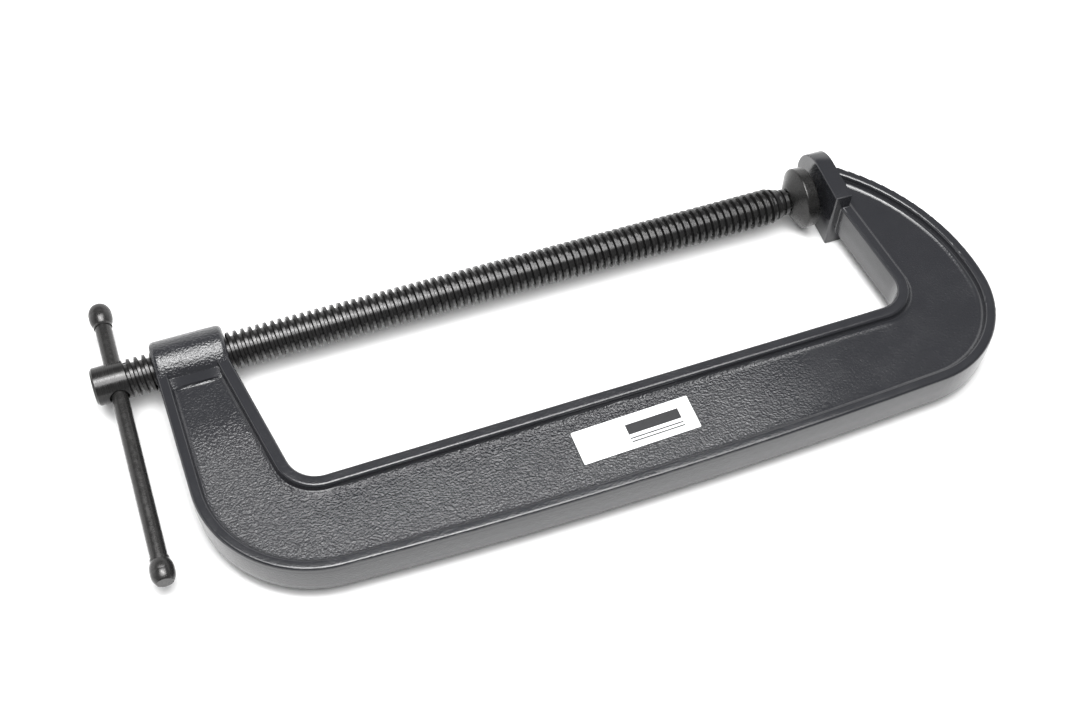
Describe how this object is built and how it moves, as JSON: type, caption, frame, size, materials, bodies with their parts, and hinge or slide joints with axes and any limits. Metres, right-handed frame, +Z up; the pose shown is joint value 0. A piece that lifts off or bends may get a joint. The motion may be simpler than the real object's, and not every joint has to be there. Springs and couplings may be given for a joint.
{
  "type": "c clamp",
  "caption": "Long-reach C-clamp: ribbed cast C-frame, trapezoidal-thread spindle with sliding cross bar and ball-jointed swivel pad",
  "frame": {"origin": "centre of the fixed anvil's clamping face, on the screw's axis", "axes": "+X along the screw from the handle into the anvil, spine of the frame towards -Y, +Z up from the bench the clamp lies on"},
  "size_m": [0.4643, 0.1926, 0.04],
  "materials": {
    "frame_paint": "semi-gloss enamel over sand casting",
    "label_film": "gloss",
    "black_steel": "black oxide, oiled",
    "grey_steel": "dark satin oxide"
  },
  "bodies": {
    "casting": {"frame": "frame_paint", "label": "label_film"},
    "collar": {"neck_washer": "black_steel"},
    "screw": {"spindle": "black_steel"},
    "pad": {"swivel_pad": "grey_steel", "pad_snap_ring": "black_steel"},
    "handle": {"handle_bar": "grey_steel", "handle_knob_near": "grey_steel", "handle_knob_far": "grey_steel"}
  },
  "joints": [
    {"name": "screw_travel", "type": "slide", "parent": "casting", "child": "collar", "axis": [1, 0, 0], "range_m": [-0.3001, 0.0029]},
    {"name": "screw_turn", "type": "hinge", "parent": "collar", "child": "screw", "pos_m": [0, 0, 0], "axis": [1, 0, 0], "range_deg": [-27000, 261]},
    {"name": "handle_slide", "type": "slide", "parent": "screw", "child": "handle", "axis": [0, -0.9994, -0.0349], "range_m": [-0.0935, 0.0235]},
    {"name": "pad_tilt", "type": "hinge", "parent": "collar", "child": "pad", "pos_m": [-0.0124, 0, 0], "axis": [0, 1, 0], "range_deg": [-5, 5]}
  ],
  "couplings": [
    {"joint": "screw_travel", "follows": "screw_turn", "m_per_rad": 0.00063662}
  ]
}
